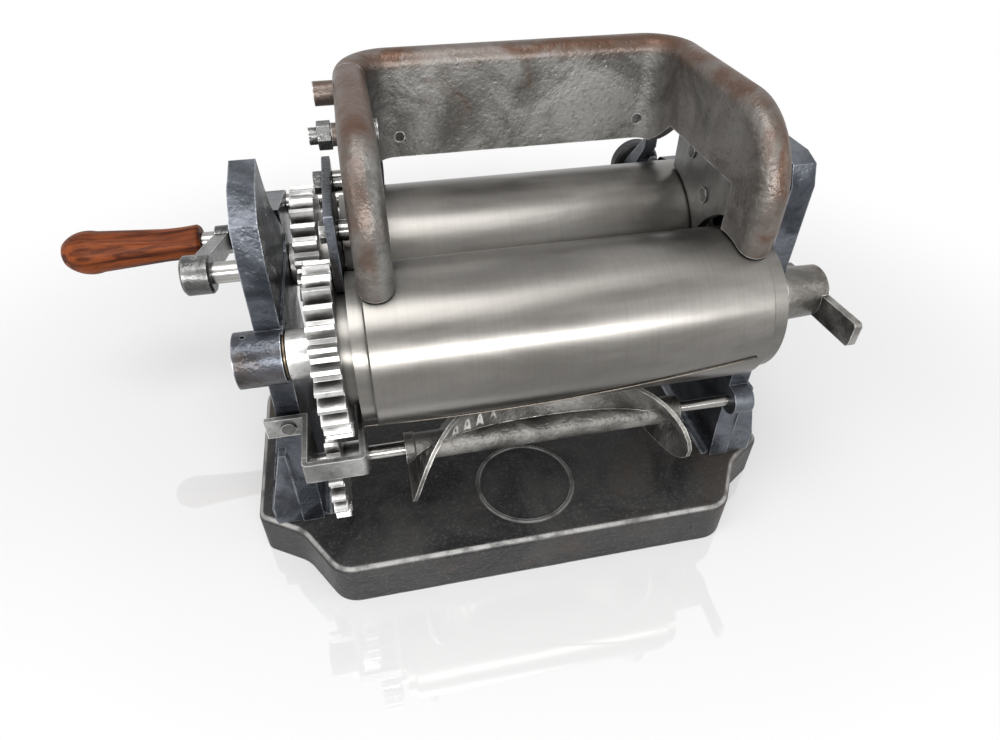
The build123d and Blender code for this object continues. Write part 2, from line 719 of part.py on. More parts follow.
def hopper_side(inset):
    """Side view of the hopper, drawn in by inset from its top and front."""
    top = HOPPER_TOP - inset
    front = HOPPER_FRONT + inset
    back = HOPPER_BACK_INSIDE + RIM_WIDTH + 5.0
    bottom = AXIS_HEIGHT
    corner = CHEEK_CORNER - inset
    nose = NOSE_RADIUS - inset
    nose_y = sqrt(nose * nose - (NOSE_Z - bottom) ** 2)
    nose_middle = radians(15.0)
    edge = [
        Line((back, bottom), (back, top)),
        Line((back, top), (front + corner, top)),
        ThreePointArc(
            (front + corner, top),
            (front + corner * (1 - cos(pi / 4)), top - corner * (1 - sin(pi / 4))),
            (front, top - corner),
        ),
        Line((front, top - corner), (front, NOSE_Z)),
        ThreePointArc(
            (front, NOSE_Z),
            (front + nose * (1 - cos(nose_middle)), NOSE_Z - nose * sin(nose_middle)),
            (front + nose - nose_y, bottom),
        ),
        Line((front + nose - nose_y, bottom), (back, bottom)),
    ]
    return make_face(edge)


def ring(inner_offset, outer_offset, low, high):
    plan = hopper_plan(outer_offset) - hopper_plan(inner_offset)
    return Pos(0, 0, low) * extrude(plan, high - low)


def across(side_view):
    """A side view swept across the whole machine."""
    return slab(-2 * FRAME_OUTER, 2 * FRAME_OUTER, side_view)


def hopper_shell():
    """Walls with a hollow bead that is rounded on both sides and runs down the front of the cheeks."""
    low = AXIS_HEIGHT
    shell = ring(0.0, RIM_WIDTH, low, HOPPER_TOP) & across(hopper_side(0.0))
    shell = fillet([e for e in shell.edges() if is_bead(e)], RIM_ROUND)
    shell -= ring(HOPPER_WALL, RIM_WIDTH + 5.0, low, HOPPER_TOP) & across(hopper_side(RIM_DEPTH))
    shell -= ring(HOPPER_WALL, RIM_WIDTH - RIM_LIP, low, HOPPER_TOP) & across(hopper_side(RIM_LIP + 1.0))
    return shell


def is_bead(edge):
    """True for the edges that run along the top and the front of the walls."""
    middle = edge @ 0.5
    end = edge @ 0.0
    if abs((edge @ 1.0).X - end.X) > RIM_WIDTH - 1.0 and end.Y < HOPPER_BACK_INSIDE - PLAN_CORNER:
        return False
    on_top = abs(middle.Z - HOPPER_TOP) < 0.1
    before_seam = middle.Y < HOPPER_FRONT + CHEEK_CORNER and middle.Z > AXIS_HEIGHT + 1.0
    return on_top or before_seam


def hopper_trim():
    """Everything below the hopper: the rollers' swing and the space under the walls."""
    clear = ROLLER_RADIUS + ROLLER_CLEARANCE
    trim = rod(-2 * FRAME_OUTER, 2 * FRAME_OUTER, clear, FRONT) + rod(-2 * FRAME_OUTER, 2 * FRAME_OUTER, clear, BACK)
    nose_end = HOPPER_FRONT + CHEEK_NOSE
    below = AXIS_HEIGHT - ROLLER_RADIUS
    behind = 2 * HOPPER_BACK_INSIDE
    under_walls = polygon(
        (2 * HOPPER_FRONT, below),
        (2 * HOPPER_FRONT, NOSE_BOTTOM),
        (nose_end, NOSE_BOTTOM),
        (nose_end, CHEEK_BOTTOM),
        (HOPPER_BACK_INSIDE - 25.0, CHEEK_BOTTOM),
        (HOPPER_BACK_INSIDE - 5.0, BACK_WALL_BOTTOM),
        (behind, BACK_WALL_BOTTOM),
        (behind, below),
    )
    return trim + across(under_walls)


def hopper():
    """Back wall and far cheek, with a short return on the crank side that ends at the seam."""
    left_front = Pos(HOPPER_LEFT - 50.0, SEAM_Y - 200.0, HOPPER_TOP) * Box(110.0, 400.0, 400.0)
    body = hopper_shell() - hopper_trim() - left_front
    for place in PLATE_BOLTS:
        body -= rod(HOPPER_RIGHT - 1.0, RIGHT_PLATE_FACE, BOLT_RADIUS, place)
    for x in BRACKET_X:
        body -= bracket_screw_hole(x)
    return body


def left_cheek():
    """Loose crank side cheek, held by the stud and by the lug on its rim."""
    keep = Pos(HOPPER_LEFT - 50.0, SEAM_Y - SEAM_GAP - 200.0, HOPPER_TOP) * Box(110.0, 400.0, 400.0)
    body = (hopper_shell() - hopper_trim()) & keep
    rim_outside = HOPPER_LEFT - RIM_WIDTH
    body += rod(rim_outside - CHEEK_LUG_REACH, rim_outside + RIM_LIP, CHEEK_LUG_RADIUS, CHEEK_LUG)
    body += rod(STUD_SEAT, LEFT_PLATE_FACE, STUD_BOSS_RADIUS, (STUD_Y, STUD_Z))
    for place in PLATE_BOLTS:
        body -= rod(LEFT_PLATE_FACE, HOPPER_LEFT + 1.0, BOLT_RADIUS, place)
    return body - rod(STUD_SEAT, HOPPER_LEFT + 1.0, STUD_RADIUS, (STUD_Y, STUD_Z))


def end_plate(x_start, x_end):
    """Plate that closes the valley between the rollers at one end of the hopper."""
    outline = polygon(
        (END_PLATE_FRONT, END_PLATE_TOP),
        (END_PLATE_BACK, END_PLATE_TOP),
        (END_PLATE_BACK, END_PLATE_BOTTOM),
        (END_PLATE_FRONT, END_PLATE_BOTTOM),
    )
    outline -= Pos(*FRONT) * Circle(ROLLER_RADIUS + SCALLOP_CLEARANCE)
    outline -= Pos(*BACK) * Circle(ROLLER_RADIUS + ROLLER_CLEARANCE)
    plate = slab(x_start, x_end, outline)
    for place in PLATE_BOLTS:
        plate -= rod(x_start, x_end, BOLT_RADIUS, place)
    return plate


def right_end_plate():
    return end_plate(RIGHT_PLATE_FACE, RIGHT_PLATE_FACE + END_PLATE)


def left_end_plate():
    return end_plate(LEFT_PLATE_FACE - END_PLATE, LEFT_PLATE_FACE)


def spacer_tubes(x_start, x_end):
    """One tube round each of the two bolts of an end plate."""
    tubes = []
    for place in PLATE_BOLTS:
        tube = rod(x_start, x_end, BOLT_RADIUS + SPACER_WALL, place)
        tubes.append(tube - rod(x_start, x_end, BOLT_RADIUS, place))
    return tubes


def hopper_spacers():
    """Tubes between the far end plate and the frame, and between the near one and the shoe."""
    far = spacer_tubes(RIGHT_PLATE_FACE + END_PLATE, FRAME_INNER)
    return far + spacer_tubes(SHOE_END, LEFT_PLATE_FACE - END_PLATE)


def plate_bolts(side, seats, nut_face):
    """Two bolts with nearly flush heads inside the hopper; side is 1 for the far side."""
    bolts = []
    for place, seat in zip(PLATE_BOLTS, seats):
        head_end = seat - side * FLUSH_HEAD
        nut_end = nut_face + side * NUT_THICKNESS
        bolt = rod(min(seat, head_end), max(seat, head_end), FLUSH_HEAD_RADIUS, place)
        bolt += rod(min(seat, nut_face), max(seat, nut_face), BOLT_RADIUS, place)
        bolt += hexagon(min(nut_face, nut_end), max(nut_face, nut_end), NUT_FLATS, place)
        bolts.append(bolt)
    return bolts


def hopper_bolts():
    """Bolts that hang the far cheek and its end plate on the frame."""
    return plate_bolts(1, (RIGHT_PLATE_FACE, RIGHT_PLATE_FACE), FRAME_OUTER)


def left_shoe():
    """Flat plate outside the near end plate; its foot straddles the two roller collars."""
    outline = polygon(
        (END_PLATE_FRONT, SHOE_TOP),
        (END_PLATE_BACK - 8.0, SHOE_TOP),
        (END_PLATE_BACK - 8.0, AXIS_HEIGHT + 12.0),
        (END_PLATE_FRONT, AXIS_HEIGHT + 12.0),
    )
    for axis in (FRONT, BACK):
        outline -= Pos(*axis) * Circle(COLLAR_RADIUS + SHOE_CLEARANCE)
    body = slab(SHOE_START, SHOE_END, outline)
    for place in PLATE_BOLTS:
        body -= rod(SHOE_START, SHOE_END, BOLT_RADIUS, place)
    return body


def shoe_bolts():
    return plate_bolts(-1, (LEFT_PLATE_FACE, LEFT_PLATE_FACE), SHOE_START)


def cheek_stud():
    """Stud through the near cheek, with a cross hole in its end."""
    place = (STUD_Y, STUD_Z)
    end = STUD_SEAT - STUD_NUT_THICKNESS - STUD_END
    stud = rod(end, HOPPER_LEFT, STUD_RADIUS, place)
    stud += rod(HOPPER_LEFT, HOPPER_LEFT + STUD_HEAD, STUD_RADIUS + STUD_HEAD, place)
    return stud - Pos(end + STUD_END / 2, STUD_Y, STUD_Z) * Cylinder(CROSS_HOLE_RADIUS, 4 * STUD_RADIUS)


def cheek_nut():
    place = (STUD_Y, STUD_Z)
    start = STUD_SEAT - STUD_NUT_THICKNESS
    nut = hexagon(start, STUD_SEAT, STUD_NUT_FLATS, place)
    return nut - rod(start, STUD_SEAT, STUD_RADIUS, place)


# ---------------------------------------------------------------- rear tie bar and hopper brackets
def tie_bar():
    """Rod between the rear ears of the frames, drawn down to a smaller size at each end."""
    thin = TIE_END_RADIUS
    end = FRAME_OUTER + NUT_THICKNESS + 2.0
    return turned(
        [
            (-end, 0),
            (-end, thin),
            (-FRAME_INNER, thin),
            (-FRAME_INNER, TIE_RADIUS),
            (FRAME_INNER, TIE_RADIUS),
            (FRAME_INNER, thin),
            (end, thin),
            (end, 0),
        ],
        (TIE_Y, TIE_Z),
    )


def tie_nuts():
    place = (TIE_Y, TIE_Z)
    nuts = []
    for start in (-FRAME_OUTER - NUT_THICKNESS, FRAME_OUTER):
        nut = hexagon(start, start + NUT_THICKNESS, NUT_FLATS + 3.0, place)
        nuts.append(nut - rod(start, start + NUT_THICKNESS, TIE_END_RADIUS, place))
    return nuts


def inwards(x):
    """Direction along X from a bracket's outer edge towards the middle of the hopper."""
    return 1 if x < 0 else -1


def bracket_screw_place(x):
    """Where the screw of the bracket with its outer edge at x meets the back wall's outside."""
    return Pos(x + inwards(x) * BRACKET_SCREW_INSET, HOPPER_BACK_OUTSIDE, BACK_WALL_BOTTOM + BRACKET_SCREW_RISE)


def bracket_screw_hole(x):
    return bracket_screw_place(x) * Rot(90, 0, 0) * Cylinder(BOLT_RADIUS, 4 * HOPPER_WALL)


def hopper_brackets():
    """A pad on each end of the back wall, with a narrow leg down to a sleeve on the tie bar."""
    outside = HOPPER_BACK_OUTSIDE + BRACKET_THICKNESS
    top = BACK_WALL_BOTTOM + 2 * BRACKET_SCREW_RISE
    knee = BACK_WALL_BOTTOM - 6.0
    reach = CLAMP_RADIUS * cos(pi / 4)
    leg = polygon(
        (HOPPER_BACK_OUTSIDE, top),
        (outside, top),
        (outside, knee),
        (TIE_Y + reach, TIE_Z + reach),
        (TIE_Y - reach, TIE_Z + reach),
        (HOPPER_BACK_OUTSIDE, knee - BRACKET_THICKNESS),
    )
    brackets = []
    for x in BRACKET_X:
        leg_side = x + inwards(x) * BRACKET_LEG
        pad_side = x + inwards(x) * BRACKET_PAD
        body = slab(min(x, leg_side), max(x, leg_side), leg)
        pad = Pos(0, (HOPPER_BACK_OUTSIDE + outside) / 2, (top + BACK_WALL_BOTTOM) / 2) * Rot(90, 0, 0)
        pad *= extrude(Pos((x + pad_side) / 2, 0) * Rectangle(BRACKET_PAD, top - BACK_WALL_BOTTOM), BRACKET_THICKNESS / 2, both=True)
        sleeve_end = SLEEVE_END if x > 0 else max(x, leg_side)
        sleeve_start = min(x, leg_side)
        body += pad + rod(sleeve_start, sleeve_end, CLAMP_RADIUS, (TIE_Y, TIE_Z))
        body -= rod(sleeve_start, sleeve_end, TIE_RADIUS, (TIE_Y, TIE_Z))
        brackets.append(body - bracket_screw_hole(x) - knob_stem(0.0))
    return brackets


def knob_stem(start=TIE_RADIUS):
    """Screw of the knob through the sleeve, from a distance behind the middle of the tie bar."""
    stem = extrude(Circle(KNOB_STEM_RADIUS), CLAMP_RADIUS + KNOB_GAP - start)
    return Pos(KNOB_X, TIE_Y + start, TIE_Z) * Rot(-90, 0, 0) * stem


def bracket_screws():
    screws = []
    for x in BRACKET_X:
        head = extrude(RegularPolygon(NUT_FLATS / 2, 6, major_radius=False), BOLT_HEAD)
        length = BRACKET_THICKNESS + HOPPER_WALL
        screw = head + Pos(0, 0, -length) * extrude(Circle(BOLT_RADIUS), length)
        screws.append(bracket_screw_place(x) * Pos(0, BRACKET_THICKNESS, 0) * Rot(-90, 0, 0) * screw)
    return screws


def clamp_knob():
    """Round knob that locks the far sleeve on the tie bar."""
    knob = extrude(Circle(KNOB_RADIUS), KNOB_LENGTH)
    knob = chamfer(knob.edges().filter_by(GeomType.CIRCLE), 1.5)
    place = Pos(KNOB_X, TIE_Y + CLAMP_RADIUS + KNOB_GAP, TIE_Z) * Rot(-90, 0, 0)
    return place * knob + knob_stem()


# ---------------------------------------------------------------- crank and handle
def crank():
    """Hub on the back roller's shaft, a tapered arm and an eye for the handle spindle."""
    hub = rod(CRANK_HUB_START, CRANK_HUB_END, CRANK_HUB_RADIUS, BACK)
    hub = chamfer(hub.edges().filter_by(GeomType.CIRCLE), 1.4)
    arm_end = CRANK_ARM_START + CRANK_ARM
    along = (cos(radians(CRANK_DROP)), -sin(radians(CRANK_DROP)))
    across_arm = (-along[1], along[0])
    half_near = 8.0
    half_far = 6.0
    corners = []
    for centre, half in ((BACK, half_near), (HANDLE_AXIS, half_far)):
        corners.append([(centre[0] + s * half * across_arm[0], centre[1] + s * half * across_arm[1]) for s in (1, -1)])
    outline = polygon(corners[0][0], corners[1][0], corners[1][1], corners[0][1])
    outline += Pos(*HANDLE_AXIS) * Circle(CRANK_EYE_RADIUS)
    body = hub + slab(CRANK_ARM_START, arm_end, outline)
    body -= rod(CRANK_HUB_START - 1.0, CRANK_HUB_END + 1.0, SHAFT_RADIUS, BACK)
    body -= rod(CRANK_ARM_START - 1.0, arm_end + 1.0, SPINDLE_RADIUS, HANDLE_AXIS)
    return body - set_screw((CRANK_HUB_START + CRANK_HUB_END) / 2, BACK, CRANK_HUB_RADIUS + 5, SHAFT_RADIUS)


def crank_screw():
    return set_screw((CRANK_HUB_START + CRANK_HUB_END) / 2, BACK, CRANK_HUB_RADIUS, SHAFT_RADIUS)


def handle_spindle():
    """Shouldered spindle, riveted over at the tip and held in the crank eye by a nut."""
    arm_end = CRANK_ARM_START + CRANK_ARM
    tip = HANDLE_BASE - HANDLE_LENGTH
    shoulder = SPINDLE_RADIUS + 2.5
    return turned(
        [
            (tip - 2.0, 0),
            (tip - 2.0, 3.0),
            (tip - 0.6, SPINDLE_RADIUS + 1.6),
            (tip - FACE_CLEARANCE, SPINDLE_RADIUS + 1.6),
            (tip - FACE_CLEARANCE, SPINDLE_RADIUS),
            (HANDLE_BASE + FACE_CLEARANCE, SPINDLE_RADIUS),
            (HANDLE_BASE + FACE_CLEARANCE, shoulder),
            (CRANK_ARM_START, shoulder),
            (CRANK_ARM_START, SPINDLE_RADIUS),
            (arm_end + NUT_THICKNESS + 2.0, SPINDLE_RADIUS),
            (arm_end + NUT_THICKNESS + 2.0, 0),
        ],
        HANDLE_AXIS,
    )


def spindle_nut():
    start = CRANK_ARM_START + CRANK_ARM
    nut = hexagon(start, start + NUT_THICKNESS, NUT_FLATS + 3.0, HANDLE_AXIS)
    return nut - rod(start, start + NUT_THICKNESS, SPINDLE_RADIUS, HANDLE_AXIS)


def handle_grip():
    """Turned wooden grip: fat near the tip, slim at the waist and flared at the crank end."""
    tip = HANDLE_BASE - HANDLE_LENGTH
    bore = SPINDLE_RADIUS + RUNNING_CLEARANCE
    widest = tip + 0.25 * HANDLE_LENGTH
    waist = tip + 0.72 * HANDLE_LENGTH
    edge = [
        Line((tip, bore), (tip, bore + 3.5)),
        ThreePointArc((tip, bore + 3.5), (tip + HANDLE_NOSE, HANDLE_RADIUS - 1.9), (widest, HANDLE_RADIUS)),
        Line((widest, HANDLE_RADIUS), (waist, HANDLE_WAIST)),
        ThreePointArc(
            (waist, HANDLE_WAIST),
            ((waist + HANDLE_BASE) / 2, HANDLE_WAIST + 0.1),
            (HANDLE_BASE - 2.0, HANDLE_FLARE),
        ),
        Line((HANDLE_BASE - 2.0, HANDLE_FLARE), (HANDLE_BASE, HANDLE_FLARE - 1.6)),
        Line((HANDLE_BASE, HANDLE_FLARE - 1.6), (HANDLE_BASE, bore)),
        Line((HANDLE_BASE, bore), (tip, bore)),
    ]
    grip = revolve(make_face(edge), Axis.X)
    return Pos(0, HANDLE_AXIS[0], HANDLE_AXIS[1]) * grip


# ---------------------------------------------------------------- gap lever and release wire
def gap_lever():
    """Lever with a hub on the far end of the front roller's shaft."""
    hub_start = FRAME_OUTER + FACE_CLEARANCE
    hub = turned(
        [
            (hub_start, BUSH_RADIUS),
            (hub_start, LEVER_HUB_RADIUS),
            (LEVER_START, LEVER_HUB_RADIUS - 1.0),
            (LEVER_START, BUSH_RADIUS),
        ],
        FRONT,
    )
    half = LEVER_HEIGHT / 2
    bar = polygon(
        (-LEVER_REACH, half),
        (-LEVER_REACH, -half),
        (LEVER_TAIL, -LEVER_TAIL_DROP - half),
        (LEVER_TAIL, half - LEVER_TAIL_DROP),
    )
    bar = fillet(bar.vertices(), 2.5)
    bar += Circle(LEVER_HUB_RADIUS - 1.0)
    bar -= Circle(SHAFT_RADIUS + RUNNING_CLEARANCE)
    return hub + slab(LEVER_START, LEVER_START + LEVER_THICKNESS, bar, FRONT)


def lever_bush():
    """Flanged sleeve that turns in the far frame with the lever and carries the front roller's shaft."""
    flange_end = FRAME_INNER - FACE_CLEARANCE
    body = rod(flange_end - BUSH_FLANGE, flange_end, BUSH_FLANGE_RADIUS, FRONT)
    body += rod(flange_end - BUSH_FLANGE, LEVER_START, BUSH_RADIUS, FRONT)
    return body - rod(0, 2 * FRAME_OUTER, SHAFT_RADIUS + RUNNING_CLEARANCE, FRONT)


NODES = {
    "base": base,
    "left_frame": left_frame,
    "right_frame": right_frame,
    "foot_bolts": foot_bolts,
    "tie_bar": tie_bar,
    "tie_nuts": tie_nuts,
    "front_left_bush": lambda: bush(-1, FRONT),
    "back_left_bush": lambda: bush(-1, BACK),
    "back_right_bush": lambda: bush(1, BACK),
    "lever_bush": lever_bush,
    "front_roller": lambda: roller(FRONT),
    "front_shaft": lambda: keyed_shaft(-FRAME_OUTER - BOSS_LENGTH + 1.0, LEVER_START + LEVER_THICKNESS + 2.0, FRONT),
    "front_roller_pin": lambda: roller_pin(FRONT),
    "front_gear": lambda: roller_gear(FRONT, FRONT_PHASE),
    "front_gear_key": lambda: gear_key(FRONT),
    "back_roller": lambda: roller(BACK),
    "back_shaft": lambda: keyed_shaft(CRANK_HUB_START, FRAME_OUTER + BOSS_LENGTH - 1.0, BACK),
    "back_roller_pin": lambda: roller_pin(BACK),
    "back_gear": lambda: roller_gear(BACK, BACK_PHASE),
    "back_gear_key": lambda: gear_key(BACK),
    "cutter_shaft": cutter_shaft,
    "cutter_gear": cutter_gear,
    "cutter_drum": cutter_drum,
    "gear_yoke": gear_yoke,
    "yoke_screw": yoke_screw,
    "hopper": hopper,
    "left_cheek": left_cheek,
    "left_end_plate": left_end_plate,
    "right_end_plate": right_end_plate,
    "left_shoe": left_shoe,
    "shoe_bolts": shoe_bolts,
    "cheek_stud": cheek_stud,
    "cheek_nut": cheek_nut,
    "hopper_spacers": hopper_spacers,
    "hopper_bolts": hopper_bolts,
    "hopper_brackets": hopper_brackets,
    "bracket_screws": bracket_screws,
    "clamp_knob": clamp_knob,
    "crank": crank,
    "crank_screw": crank_screw,
    "handle_spindle": handle_spindle,
    "spindle_nut": spindle_nut,
    "handle_grip": handle_grip,
    "gap_lever": gap_lever,
}

for name, make in NODES.items():
    made = make()
    if isinstance(made, list):
        made = Compound(children=[piece.solid() for piece in made])
    export_step(made, f"parts/{name}.step")
    print(name, "done")
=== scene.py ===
"""Looks of the hand crank tortilla machine: materials, edges, release wire, floor, light and camera.

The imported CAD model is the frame.  Lengths are in metres, and in millimetres where a name says so.
+X runs along the rollers away from the crank, -Y faces the user and +Z is up.
"""
import json
from math import cos, radians, sin

import bpy
from mathutils import Matrix, Vector


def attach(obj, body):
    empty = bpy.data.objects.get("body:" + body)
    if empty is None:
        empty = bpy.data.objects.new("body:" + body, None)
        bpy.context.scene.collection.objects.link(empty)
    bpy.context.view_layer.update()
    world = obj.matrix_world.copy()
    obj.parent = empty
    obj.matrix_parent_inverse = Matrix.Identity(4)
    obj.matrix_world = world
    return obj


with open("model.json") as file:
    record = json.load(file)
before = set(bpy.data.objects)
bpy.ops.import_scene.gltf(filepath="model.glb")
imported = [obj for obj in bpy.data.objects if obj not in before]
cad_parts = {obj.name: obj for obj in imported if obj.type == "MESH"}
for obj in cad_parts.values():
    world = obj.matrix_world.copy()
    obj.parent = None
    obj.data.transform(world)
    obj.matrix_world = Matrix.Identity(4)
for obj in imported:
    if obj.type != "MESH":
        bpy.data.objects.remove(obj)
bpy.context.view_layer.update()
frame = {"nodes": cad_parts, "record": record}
MM = 0.001

# ---------------------------------------------------------------- photograph
# Solved from the ends and edges of both rollers, the gears, the crank hub and the corners of the base.
PHOTO_WIDTH = 1000
PHOTO_HEIGHT = 740
CAMERA_PLACE = Vector((-77.6, -307.6, 371.2)) * MM
CAMERA_YAW = radians(-11.5946)
CAMERA_PITCH = radians(40.1734)
CAMERA_ROLL = radians(0.1033)
FOCAL_PIXELS = 668.863
CENTRE_PIXEL = (489.36, 353.57)
SENSOR_WIDTH = 36.0
CLIP_START = 0.01

# ---------------------------------------------------------------- colours, as linear red, green and blue
WHITE = (1.0, 1.0, 1.0)
# Painted shade for the corners of milled metal.
MILLED_CORNER_SHADE = (0.022, 0.018, 0.015)
# Painted shade for the corners of the base.
BASE_CORNER_SHADE = (0.006, 0.006, 0.006)
BASE_DARK = (0.010, 0.010, 0.011)
BASE_LIGHT = (0.040, 0.039, 0.038)
BASE_SPECKLE = (0.10, 0.098, 0.094)
BASE_RUST = (0.055, 0.038, 0.028)
# Wear and painted highlight along the base's rounded edge.
BASE_WEAR_AND_SHEEN = (0.24, 0.236, 0.228)
FRAME_STAIN = (0.04, 0.026, 0.018)
RIM_STAIN = (0.07, 0.033, 0.018)
LEVER_STAIN = (0.075, 0.034, 0.018)
WOOD_DARK = (0.032, 0.007, 0.0024)
WOOD_LIGHT = (0.175, 0.043, 0.0115)
WOOD_PORES = (0.018, 0.005, 0.003)
WOOD_PATCHES = (0.045, 0.011, 0.005)

# Where the hopper's stained rim starts and is full: heights, and distances along the rollers.
RIM_TOP = (0.2515, 0.2625)
RIM_RIGHT = (0.0985, 0.108)
RIM_LEFT = (-0.0735, -0.078)


def darker(colour, share):
    return tuple(share * c for c in colour)


def brighter(colour, gain, lift=0.0):
    return tuple(min(1.0, gain * c + lift) for c in colour)


# ---------------------------------------------------------------- material building
def put(links, value, socket):
    """Links a socket to another socket, or writes a plain value into it."""
    if isinstance(value, bpy.types.NodeSocket):
        links.new(value, socket)
    else:
        socket.default_value = value


def mixed(nodes, links, amount, first, second):
    """Shader socket that goes from the first shader to the second."""
    mix = nodes.new("ShaderNodeMixShader")
    put(links, amount, mix.inputs[0])
    links.new(first, mix.inputs[1])
    links.new(second, mix.inputs[2])
    return mix.outputs[0]


class Paint:
    """Small helper round one material's node tree."""

    EDGE_SAMPLES = 6
    HOLLOW_SAMPLES = 6

    def __init__(self, name):
        self.material = bpy.data.materials.new(name)
        self.material.use_nodes = True
        self.nodes = self.material.node_tree.nodes
        self.links = self.material.node_tree.links
        self.nodes.clear()
        self.output = self.nodes.new("ShaderNodeOutputMaterial")
        self.shader = self.nodes.new("ShaderNodeBsdfPrincipled")
        self.links.new(self.shader.outputs[0], self.output.inputs["Surface"])
        coordinates = self.nodes.new("ShaderNodeTexCoord")
        self.place = coordinates.outputs["Object"]
        self.facing = coordinates.outputs["Normal"]

    def put(self, value, socket):
        put(self.links, value, socket)

    def put_colour(self, colour, socket):
        self.put(colour if isinstance(colour, bpy.types.NodeSocket) else (*colour, 1.0), socket)

    def scaled(self, x, y, z, turn=(0, 0, 0)):
        mapping = self.nodes.new("ShaderNodeMapping")
        self.links.new(self.place, mapping.inputs["Vector"])
        mapping.inputs["Scale"].default_value = (x, y, z)
        mapping.inputs["Rotation"].default_value = turn
        return mapping.outputs[0]

    def noise(self, scale=1.0, detail=4.0, rough=0.55, warp=0.0, vector=None):
        node = self.nodes.new("ShaderNodeTexNoise")
        self.links.new(vector or self.place, node.inputs["Vector"])
        node.inputs["Scale"].default_value = scale
        node.inputs["Detail"].default_value = detail
        node.inputs["Roughness"].default_value = rough
        node.inputs["Distortion"].default_value = warp
        return node.outputs["Fac"]

    def cells(self, scale):
        node = self.nodes.new("ShaderNodeTexVoronoi")
        self.links.new(self.place, node.inputs["Vector"])
        node.inputs["Scale"].default_value = scale
        return node.outputs["Distance"]

    def curve(self, value, low, high, out_low=0.0, out_high=1.0):
        """Goes smoothly from out_low to out_high while the value goes from low to high."""
        node = self.nodes.new("ShaderNodeMapRange")
        node.interpolation_type = "SMOOTHSTEP"
        self.put(value, node.inputs["Value"])
        node.inputs["From Min"].default_value = low
        node.inputs["From Max"].default_value = high
        node.inputs["To Min"].default_value = out_low
        node.inputs["To Max"].default_value = out_high
        return node.outputs["Result"]

    def math(self, operation, first, second):
        node = self.nodes.new("ShaderNodeMath")
        node.operation = operation
        self.put(first, node.inputs[0])
        self.put(second, node.inputs[1])
        return node.outputs[0]

    def blend(self, amount, first, second):
        """Colour that goes from the first to the second."""
        node = self.nodes.new("ShaderNodeMix")
        node.data_type = "RGBA"
        self.put(amount, node.inputs[0])
        self.put_colour(first, node.inputs[6])
        self.put_colour(second, node.inputs[7])
        return node.outputs[2]

    def axis(self, name, vector=None):
        node = self.nodes.new("ShaderNodeSeparateXYZ")
        self.links.new(vector or self.place, node.inputs[0])
        return node.outputs[name]

    def distance(self):
        """How far a point is from the middle of the object."""
        node = self.nodes.new("ShaderNodeVectorMath")
        node.operation = "LENGTH"
        self.links.new(self.place, node.inputs[0])
        return node.outputs["Value"]

    def edges(self, radius=0.0012, low=0.02, high=0.22):
        """1 on sharp edges, 0 on flat faces."""
        bevel = self.nodes.new("ShaderNodeBevel")
        bevel.samples = self.EDGE_SAMPLES
        bevel.inputs["Radius"].default_value = radius
        geometry = self.nodes.new("ShaderNodeNewGeometry")
        dot = self.nodes.new("ShaderNodeVectorMath")
        dot.operation = "DOT_PRODUCT"
        self.links.new(bevel.outputs[0], dot.inputs[0])
        self.links.new(geometry.outputs["Normal"], dot.inputs[1])
        return self.curve(self.math("SUBTRACT", 1.0, dot.outputs["Value"]), low, high)

    def painted_corner_shade(self, amount, reach=0.005, low=0.3, high=0.85):
        """Painted shade: the amount in corners and narrow gaps, 0 on open faces."""
        hollow = self.nodes.new("ShaderNodeAmbientOcclusion")
        hollow.samples = self.HOLLOW_SAMPLES
        hollow.inputs["Distance"].default_value = reach
        return self.math("MULTIPLY", self.curve(hollow.outputs["AO"], low, high, 1.0, 0.0), amount)

    def bumps(self, *layers):
        """Each layer is (height socket, depth in millimetres)."""
        normal = None
        for height, depth in layers:
            node = self.nodes.new("ShaderNodeBump")
            node.inputs["Strength"].default_value = 1.0
            node.inputs["Distance"].default_value = depth * MM
            self.links.new(height, node.inputs["Height"])
            if normal:
                self.links.new(normal, node.inputs["Normal"])
            normal = node.outputs[0]
        self.links.new(normal, self.shader.inputs["Normal"])

    def finish(self, colour, roughness, metallic=1.0, anisotropic=None, specular=None):
        """The material, with its base colour, roughness and plain values set on the shader."""
        self.put_colour(colour, self.shader.inputs["Base Color"])
        self.put(roughness, self.shader.inputs["Roughness"])
        self.shader.inputs["Metallic"].default_value = metallic
        if anisotropic is not None:
            self.shader.inputs["Anisotropic"].default_value = anisotropic
        if specular is not None:
            self.shader.inputs["Specular IOR Level"].default_value = specular
        return self.material


